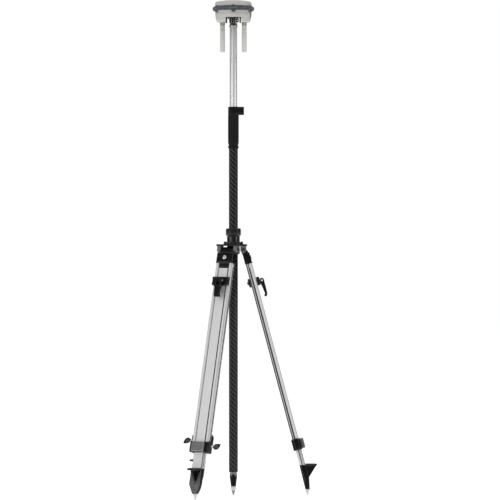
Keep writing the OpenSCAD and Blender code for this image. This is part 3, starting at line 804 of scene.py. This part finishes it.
# %% Ferrule with milled flats
FLATS = 6
FLAT_Z, FLAT_RADIUS, FLAT_TILT = 0.068, 0.0122, 0.104
FLAT_DOWN, FLAT_UP, FLAT_HALF = 0.030, 0.034, 0.012
BLACK_TOP, BORE_LIMIT, TILT_MATCH = 0.066, 0.008, 0.004
ferrule = copy_part("point_socket", "ferrule_body")
cutters = []
for i in range(FLATS):
    flat = add_box((0, -FLAT_HALF, -FLAT_DOWN), (FLAT_HALF, FLAT_HALF, FLAT_UP))
    flat.matrix_world = (mathutils.Matrix.Translation((FLAT_RADIUS, 0, FLAT_Z))
                         @ mathutils.Matrix.Rotation(FLAT_TILT, 4, "Y"))
    drop_place(flat)
    turn_about_pole(flat, 30 + 360 * i / FLATS)
    cutters.append(flat)
cut_away(ferrule, cutters)
bisect(ferrule, (0, 0, BLACK_TOP), (0, 0, 1))
paint(ferrule, ferrule_grey, coat_black)
for face in ferrule.data.polygons:
    milled = abs(face.normal.z + math.sin(FLAT_TILT)) < TILT_MATCH
    outside = face.center.xy.length > BORE_LIMIT and face.center.z < FLAT_Z + FLAT_UP
    face.material_index = 1 if outside and (milled or face.center.z < BLACK_TOP) else 0
round_edges(ferrule, 0.0004, 2, angle=30)
smooth(ferrule)
hand_over(ferrule, "pole", "ferrule", "point_socket")

WORN_SHARE = 0.55
tip = copy_part("pole_point", "steel_point")
tip_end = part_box("pole_point")[0].z
worn_top = tip_end + WORN_SHARE * (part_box("point_socket")[0].z - tip_end)
paint(tip, ground_steel, worn_steel)
for face in tip.data.polygons:
    face.material_index = 1 if face.center.z < worn_top else 0
round_edges(tip, 0.0003, 2, angle=30)
smooth(tip)
hand_over(tip, "pole", "steel", "pole_point")

# %% [markdown]
# ## Tripod head
# The head is a stack: a lobed nut on a ribbed neck, a round flange, a plate with an ear on each side of
# every leg, and the hinge bolts. The plate is black and its ears are grey, so the faces of one casting get
# their material by height. A thin slot runs across the inside of each ear.

# %% Nut and hub
nut_low, nut_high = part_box("clamp_nut")
NUT_RADIUS, NUT_LOBES, NUT_LOBE, NUT_POINTS = 0.0306, 6, 0.0014, 120
NUT_BEVEL, NUT_BORE = 0.0062, 0.02006
THREAD_RADIUS, THREAD_DEPTH = 0.02506, 0.0245
CLEAR = 0.01
nut_outline = []
for i in range(NUT_POINTS):
    angle = 2 * math.pi * i / NUT_POINTS
    radius = NUT_RADIUS + NUT_LOBE * math.cos(NUT_LOBES * angle)
    nut_outline.append((radius * math.cos(angle), radius * math.sin(angle)))
nut = add_section(nut_outline, nut_low.z, nut_high.z, "lobed_nut")
paint(nut, coat_gloss)
round_edges(nut, NUT_BEVEL, 6, angle=60)
cut_away(nut, [add_rod(NUT_BORE, (0, 0, nut_low.z - CLEAR), (0, 0, nut_high.z + CLEAR), 96),
               add_rod(THREAD_RADIUS, (0, 0, nut_low.z - CLEAR), (0, 0, nut_low.z + THREAD_DEPTH), 96)])
smooth(nut)
hand_over(nut, "clamp_nut", "moulding", "clamp_nut")

simple_piece("tripod_hub", "hub_casting", "tripod_head", "casting", coat_gloss, coat_edge_wear_and_highlight,
             width=0.0008, angle=40)

# %% Neck ribs and flange screws
NECK_RIBS, RIB_HALF = 6, 0.0026
RIB_INSIDE, RIB_OUTSIDE = 0.0245, 0.0272
FLANGE_SCREWS, FLANGE_SCREW_RING = 6, 0.036
FLANGE_THICK = 0.0095
flange_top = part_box("hub_plate")[1].z + FLANGE_THICK
rib_top = nut_low.z - 0.0012
for i in range(NECK_RIBS):
    rib = add_box((RIB_INSIDE, -RIB_HALF, flange_top), (RIB_OUTSIDE, RIB_HALF, rib_top), f"neck_rib_{i + 1}")
    turn_about_pole(rib, 360 * i / NECK_RIBS)
    # The ribs are painted light grey to draw the neck's vertical highlight stripes: a painted highlight
    paint(rib, coat_grey)
    soften(rib, 0.0006)
    hand_over(rib, "tripod_head", "casting")
for i in range(FLANGE_SCREWS):
    angle = math.radians(360 / FLANGE_SCREWS * i + 10)
    spot = (FLANGE_SCREW_RING * math.cos(angle), FLANGE_SCREW_RING * math.sin(angle), flange_top)
    screw = place_screw(0.0032, 0.0026, spot, (0, 0, 1), f"flange_screw_{i + 1}")
    paint(screw, black_steel)
    hand_over(screw, "tripod_head", "dark_steel")

# %% Plate with its ears
SLOT_HEIGHT, SLOT_DEPTH, SLOT_HALF = 0.0010, 0.0014, 0.016
EAR_FACE = 0.0482
hinge = mathutils.Vector(next(j["pos_m"] for j in frame["joints"] if j["name"] == "leg_a_fold"))
slot_low, slot_high = hinge.z + 0.0075, hinge.z + 0.0075 + SLOT_HEIGHT
plate_underside = hinge.z + 0.0174
ears = copy_part("hub_plate", "plate_with_ears")
cutters = []
for azimuth in LEG_AZIMUTH.values():
    for side in (-1, 1):
        near, far = sorted((side * EAR_FACE, side * EAR_FACE - side * SLOT_DEPTH))
        groove = add_box((hinge.x - SLOT_HALF, near, slot_low), (hinge.x + SLOT_HALF, far, slot_high))
        turn_about_pole(groove, azimuth)
        cutters.append(groove)
cut_away(ears, [join(cutters, "ear_slots")])
paint(ears, coat_black, coat_edge_wear_and_highlight, coat_grey)
for face in ears.data.polygons:
    face.material_index = 0 if face.center.z > plate_underside else 2
soften(ears, 0.0006, angle=45)
hand_over(ears, "tripod_head", "ears", "hub_plate")

# %% Hinge bolts
simple_piece("hinge_bolts", "hinge_bolt_set", "tripod_head", "dark_steel", black_steel, coat_edge_wear_and_highlight,
             width=0.0006, angle=40)
print("hinge height", round(hinge.z, 4), "m")

# %% Round level
vial_green = finish("vial_green", (0.42, 0.66, 0.10), (0.34, 0.58, 0.07), (0.05, 0.1), coat=1.0, bump=0.0)
bubble_white = finish("bubble_white", (0.80, 0.88, 0.62), (0.74, 0.83, 0.55), (0.05, 0.1), coat=1.0, bump=0.0)
vial_low, vial_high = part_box("level_vial")
vial_centre = (vial_low + vial_high) / 2
LIQUID_RADIUS, LIQUID_BOTTOM = 0.0055, 0.0052
level = copy_part("level_vial", "level_case")
paint(level, port_black, vial_green)
for face in level.data.polygons:
    in_window = (face.center - vial_centre).xy.length < LIQUID_RADIUS
    face.material_index = 1 if in_window and face.center.z > vial_low.z + LIQUID_BOTTOM else 0
round_edges(level, 0.0005, 3, angle=40)
smooth(level)
hand_over(level, "tripod_head", "vial", "level_vial")
bpy.ops.object.select_all(action="DESELECT")
bpy.ops.mesh.primitive_uv_sphere_add(segments=24, ring_count=12, radius=0.0017,
                                     location=(vial_centre.x + 0.0004, vial_centre.y, vial_high.z))
bubble = bpy.context.object
bubble.name = "level_bubble"
bubble.scale.z = 0.25
smooth(bubble)
paint(bubble, bubble_white)
hand_over(bubble, "tripod_head", "vial")
bpy.ops.object.select_all(action="DESELECT")
bpy.ops.mesh.primitive_torus_add(major_radius=0.0027, minor_radius=0.00018, major_segments=48,
                                 minor_segments=8, location=(vial_centre.x, vial_centre.y, vial_high.z))
circle = bpy.context.object
circle.name = "level_circle"
smooth(circle)
paint(circle, port_black)
hand_over(circle, "tripod_head", "vial")

# %% [markdown]
# ## Parts inside
# Six parts are hidden when everything is closed: the antenna stack, the board, the battery, the threaded
# insert, the pole's bush and the collet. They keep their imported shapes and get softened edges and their
# own finishes, so that an opened or taken-apart model still looks right.

# %% Inner parts
INNER_PARTS = (
    ("antenna_element", "receiver", "antenna", ceramic_buff, 0.0006),
    ("main_board", "receiver", "board", board_green, 0.0003),
    ("battery_pack", "receiver", "battery", battery_grey, 0.0012),
    ("mount_insert", "receiver", "insert", black_nickel, 0.0003),
    ("slide_bush", "pole", "bush", acetal_white, 0.0003),
    ("clamp_collet", "tripod_head", "bush", acetal_white, 0.0002),
)
for node, body, slot, material, width in INNER_PARTS:
    simple_piece(node, f"{node}_form", body, slot, material, width=width, angle=40)
print("inner parts:", len(INNER_PARTS))

# %% [markdown]
# ## Legs
# The three legs are alike, so each piece is modelled once, on leg a, and copied to the other two. A leg
# piece is easiest to place in the leg's own frame: x outward, y along the hinge, z up the leg, with the
# hinge as its origin. One matrix takes it from there onto the tilted leg.

# %% The leg's own frame
leg_slide_axis = mathutils.Vector(next(j["axis"] for j in frame["joints"] if j["name"] == "leg_a_slide"))
LEG_TILT = math.atan2(leg_slide_axis.x, -leg_slide_axis.z)
leg_matrix = mathutils.Matrix.Translation(hinge) @ mathutils.Matrix.Rotation(-LEG_TILT, 4, "Y")
leg_inverse = leg_matrix.inverted()
UV_LEAN = 1.7


def onto_leg(piece):
    """Take a piece from the leg's own frame onto leg a."""
    piece.matrix_world = leg_matrix @ piece.matrix_world
    drop_place(piece)
    return piece


def leg_uv(piece):
    """V runs along the leg and U round its section, in metres."""
    layer = piece.data.uv_layers.new(name="leg")
    for corner in piece.data.loops:
        point = leg_inverse @ piece.data.vertices[corner.vertex_index].co
        layer.data[corner.index].uv = (point.y + UV_LEAN * point.x, point.z)


print("leg tilt", round(math.degrees(LEG_TILT), 2), "degrees")

# %% [markdown]
# Rails and inner leg are extrusions, so each is one section pulled along the leg. The rail has one round
# corner and several slanted ones, and a channel runs down its side. The channel and the slants get painted
# shade in darker metal than the wide faces, and both together draw the fine parallel lines along a leg.

# %% Painted shade on channels and slants
DARK, SHADED = 1, 2


def darken(bar, areas):
    """Give the long faces whose middle lies in one of these areas of the section a darker material: painted
    shade.
    """
    for low_x, high_x, low_y, high_y, index in areas:
        for face in bar.data.polygons:
            inside = low_x < face.center.x < high_x and low_y < abs(face.center.y) < high_y
            if inside and abs(face.normal.z) < 0.5:
                face.material_index = index


# %% Rails
RAIL_TOP, RAIL_END = -0.062, -0.866
RAIL_IN, RAIL_OUT = -0.006, 0.021
RAIL_INSIDE, RAIL_OUTSIDE = 0.0242, 0.0385
CORNER = 0.005
rail_outline = (
    [(0.0175, RAIL_INSIDE), (RAIL_OUT, 0.0272)]
    + quarter(RAIL_OUT - CORNER, RAIL_OUTSIDE - CORNER, CORNER, 0)
    + [(0.0084, RAIL_OUTSIDE), (0.0076, 0.0368), (0.0026, 0.0368), (0.0018, RAIL_OUTSIDE - 0.0001)]
    + [(-0.0012, 0.0381), (-0.0036, 0.0369), (RAIL_IN, 0.0345), (RAIL_IN, 0.0260), (-0.0045, RAIL_INSIDE)]
)
# Areas of the rail painted as shade: the channel and inner slants darkest, the channel's slant and the round
# corner less so
side_channel = (0.0016, 0.0086, 0.0340, 0.0380, DARK)
inner_slants = (RAIL_IN - 0.001, -0.0020, 0.0346, 0.0380, DARK)
channel_slant = (-0.0011, 0.0017, 0.0375, RAIL_OUTSIDE, SHADED)
round_corner = (0.0168, RAIL_OUT, 0.0345, RAIL_OUTSIDE, SHADED)
rails = []
for side in (-1, 1):
    outline = [(x, side * y) for x, y in rail_outline]
    rail = add_section(outline, RAIL_END, RAIL_TOP, "rail")
    paint(rail, rail_metal, rail_painted_shadow, rail_painted_shade)
    darken(rail, (side_channel, inner_slants, channel_slant, round_corner))
    rails.append(rail)
rails = join(rails, "rails")
onto_leg(rails)
leg_uv(rails)
smooth(rails, math.radians(24))
repeat_on_legs(rails, "rails", "upper", "rail", "rails")

# %% Inner leg
INNER_HALF, INNER_IN, INNER_OUT = 0.0237, -0.005, 0.020
INNER_TOP, INNER_BELOW_FLOOR = -0.084, -0.960
half_outline = [(INNER_OUT, 0.0207), (0.0178, 0.0232), (0.0092, INNER_HALF), (0.0086, 0.0223),
                (0.0058, 0.0223), (0.0052, INNER_HALF), (-0.0032, INNER_HALF), (INNER_IN, 0.0220)]
outline = half_outline + [(x, -y) for x, y in reversed(half_outline)]
# Areas of the inner leg painted as shade: the channel and short slant darkest, the long slant less so
inner_channel = (0.0050, 0.0094, 0.0196, 0.0236, DARK)
long_slant = (0.0094, 0.0178, 0.0230, 0.0240, SHADED)
short_slant = (0.0178, INNER_OUT - 0.0002, 0.0208, 0.0232, DARK)
inner = add_section(outline, INNER_BELOW_FLOOR, INNER_TOP, "inner_leg")
paint(inner, rail_metal, rail_painted_shadow, rail_painted_shade)
darken(inner, (inner_channel, long_slant, short_slant))
onto_leg(inner)
bisect(inner, (0, 0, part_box("leg_a_inner")[0].z), (0, 0, -1), use_fill=True, clear_outer=True)
for face in inner.data.polygons:
    if face.normal.z < -0.99:
        face.material_index = 0
leg_uv(inner)
smooth(inner, math.radians(24))
repeat_on_legs(inner, "inner", "slider", "rail", "inner")

# %% [markdown]
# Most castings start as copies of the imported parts. The head's rear face has two sunk pockets, which real
# castings have to save weight. The cam clamp is put together from bars and rods, each with its own bevel,
# because a bevel across their joints would tear.

# %% Head casting
def leg_piece(part, body, slot, *materials, **edges):
    """Copy one of leg a's parts, paint and soften it, and put it on all three legs."""
    piece = copy_part(f"leg_a_{part}", f"{part}_pattern")
    paint(piece, *materials)
    soften(piece, **edges)
    repeat_on_legs(piece, part, body, slot, part)


POCKET_NEAR, POCKET_FAR = 0.0125, 0.034
head = copy_part("leg_a_head", "leg_head")
cutters = []
for side in (-1, 1):
    near, far = sorted((side * POCKET_NEAR, side * POCKET_FAR))
    cutters.append(onto_leg(add_box((-0.020, near, -0.056), (-0.0060, far, -0.024))))
cut_away(head, [join(cutters, "pockets")])
paint(head, coat_black, coat_edge_wear_and_highlight)
soften(head, 0.0009, angle=38)
repeat_on_legs(head, "head", "upper", "casting", "head")

# %% Cam clamp and lever
CAM_X, CAM_Z = 0.0425, -0.143
JAW_HALF, JAW_LOW, JAW_HIGH = 0.039, CAM_Z - 0.018, CAM_Z + 0.018
KEYWAY_LOW, KEYWAY_HIGH = CAM_Z - 0.02, CAM_Z + 0.02
BOLT_Y, BOLT_LIFT = 0.033, 0.011
outer = add_box((0.0213, -JAW_HALF, JAW_LOW), (0.0322, JAW_HALF, JAW_HIGH), "outer_jaw")
cut_away(outer, [add_box((0.0200, y - 0.004, KEYWAY_LOW), (0.0240, y + 0.004, KEYWAY_HIGH))
                 for y in (-0.018, 0.018)])
jaws = [outer, add_box((-0.0153, -JAW_HALF, JAW_LOW), (-0.0063, JAW_HALF, JAW_HIGH), "inner_jaw")]
bolt_heads = [add_rod(0.006, (0.031, y, CAM_Z + lift), (0.0345, y, CAM_Z + lift))
              for y in (-BOLT_Y, BOLT_Y) for lift in (-BOLT_LIFT, BOLT_LIFT)]
drawbar = add_rod(0.004, (-0.0193, 0, CAM_Z), (CAM_X, 0, CAM_Z))
drawbar_head = add_rod(0.007, (-0.0203, 0, CAM_Z), (-0.0143, 0, CAM_Z), 6)
drawbar_eye = add_rod(0.007, (CAM_X, -0.0075, CAM_Z), (CAM_X, 0.0075, CAM_Z))
cam_pin = add_rod(0.004, (CAM_X, -0.019, CAM_Z), (CAM_X, 0.019, CAM_Z))
rods = bolt_heads + [drawbar, drawbar_head, drawbar_eye, cam_pin]
for width, bars in ((0.0012, jaws), (0.0005, rods)):
    for bar in bars:
        paint(bar, coat_black, coat_edge_wear_and_highlight)
        round_edges(bar, width, 2, bevel_index=1, angle=40)
clamp = join(jaws + rods, "cam_clamp")
onto_leg(clamp)
smooth(clamp)
repeat_on_legs(clamp, "cam_clamp", "slider", "casting", "cam_clamp")

leg_piece("cam_lever", "cam_lever", "moulding", nylon_black, nylon_edge_wear_and_highlight, width=0.0007, angle=50)

CAP_RADIUS, CAP_INSIDE, CAP_OUTSIDE = 0.0052, 0.0173, 0.0192
for side, label in ((-1, "left"), (1, "right")):
    cap = add_rod(CAP_RADIUS, (CAM_X, side * CAP_INSIDE, CAM_Z), (CAM_X, side * CAP_OUTSIDE, CAM_Z))
    round_edges(cap, 0.0007, 3, angle=40)
    onto_leg(cap)
    smooth(cap)
    paint(cap, zinc_steel)
    repeat_on_legs(cap, f"cam_pin_cap_{label}", "slider", "bright_steel")

# %% Lower clamp and its raised block
leg_piece("lower_clamp", "upper", "casting", coat_black, coat_edge_wear_and_highlight, width=0.0009, angle=38)
leg_piece("front_block", "upper", "front_block", coat_grey, coat_grey_edge_wear_and_highlight,
          width=0.0018, segments=3, angle=40)

# %% [markdown]
# Each thumb screw is a leaf-shaped paddle, dished on both faces, on a bright shank. The screws stand at
# different angles, so each leg's is made on its own.

# %% Thumb screws
SCREW_X, SCREW_Z, BOSS_END = 0.0075, -0.848, 0.048
PADDLE_CENTRE, PADDLE_THICK, DISH_RADIUS = 0.076, 0.008, 0.030
DISH_MIDDLE, DISH_EDGE = 0.0018, 0.0036
STUB_FROM, STUB_TO = 0.0389, 0.063
COLLAR_FROM, COLLAR_TO = BOSS_END + 0.0003, BOSS_END + 0.0125
SCREW_TURN = {"a": 0, "b": 0, "c": 180}
paddle_outline = [(-0.0160, -0.0006), (-0.0140, -0.0080), (-0.0080, -0.0125), (0.0015, -0.0115),
                  (0.0085, -0.0066), (0.0140, 0.0030), (0.0160, 0.0120), (0.0030, 0.0125),
                  (-0.0070, 0.0113), (-0.0125, 0.0060)]
LEAF_TO_SCREW = mathutils.Matrix(((0, 0, 1, 0), (1, 0, 0, PADDLE_CENTRE), (0, 1, 0, 0), (0, 0, 0, 1)))
for leg, azimuth in LEG_AZIMUTH.items():
    paddle = add_section(paddle_outline, -PADDLE_THICK / 2, PADDLE_THICK / 2, "thumb_paddle")
    paint(paddle, nylon_black, nylon_edge_wear_and_highlight)
    round_edges(paddle, 0.0016, 3, bevel_index=0, angle=40)
    paddle.matrix_world = LEAF_TO_SCREW
    drop_place(paddle)
    for side in (-1, 1):
        bpy.ops.object.select_all(action="DESELECT")
        bpy.ops.mesh.primitive_uv_sphere_add(
            segments=48, ring_count=32, radius=DISH_RADIUS,
            location=(side * (DISH_RADIUS + DISH_MIDDLE), PADDLE_CENTRE, 0)
        )
        cut_away(paddle, [bpy.context.object])
    # The middle of each dish takes the lighter nylon: a painted highlight
    for face in paddle.data.polygons:
        face.material_index = 1 if abs(face.center.x) < DISH_EDGE and abs(face.normal.x) > 0.85 else 0
    stub = add_rod(0.004, (0, STUB_FROM, 0), (0, STUB_TO, 0))
    collar = add_rod(0.0062, (0, COLLAR_FROM, 0), (0, COLLAR_TO, 0))
    round_edges(collar, 0.0006, 2, angle=40)
    paint(stub, zinc_steel)
    paint(collar, zinc_steel)
    metal = join([stub, collar], f"leg_{leg}_thumb_shank")
    paddle.name = f"leg_{leg}_thumb_paddle"
    for piece in (paddle, metal):
        piece.matrix_world = (mathutils.Matrix.Translation((SCREW_X, 0, SCREW_Z))
                              @ mathutils.Matrix.Rotation(math.radians(SCREW_TURN[leg]), 4, "Y"))
        drop_place(piece)
        onto_leg(piece)
        turn_about_pole(piece, azimuth)
        smooth(piece)
    hand_over(paddle, f"leg_{leg}_thumbscrew", "moulding", f"leg_{leg}_thumbscrew")
    hand_over(metal, f"leg_{leg}_thumbscrew", "bright_steel")

# %% Foot, spike and screws
FRONT_TOP_Z, FRONT_TOP_X, FRONT_SLOPE = 0.1275, 0.3055, 0.27
FRONT_HEIGHT, FRONT_SLACK, STEP_X = 0.0545, 0.0025, 0.3245
foot = copy_part("leg_a_foot", "foot_casting")
paint(foot, coat_black, coat_edge_wear_and_highlight, coat_painted_light)
# The outward front faces of the foot's ribs are painted lighter: painted light where the lamps fall on them
for face in foot.data.polygons:
    drop = min(FRONT_TOP_Z - face.center.z, FRONT_HEIGHT)
    faces_front = face.normal.x > 0.55 and abs(face.normal.z) < 0.6
    on_front = FRONT_TOP_X + FRONT_SLOPE * drop - FRONT_SLACK < face.center.x < STEP_X
    face.material_index = 2 if faces_front and on_front else 0
soften(foot, 0.0010, angle=30)
repeat_on_legs(foot, "foot", "slider", "casting", "foot")

leg_piece("spike", "slider", "steel", ground_steel, width=0.0003, angle=30)
leg_piece("fasteners", "upper", "bright_steel", zinc_steel, width=0.0005, angle=40)
leg_names = [o.name for o in bpy.data.objects if o.name.startswith("leg_") and o.name.endswith("_form")]
print("leg pieces made by copying:", len(leg_names))
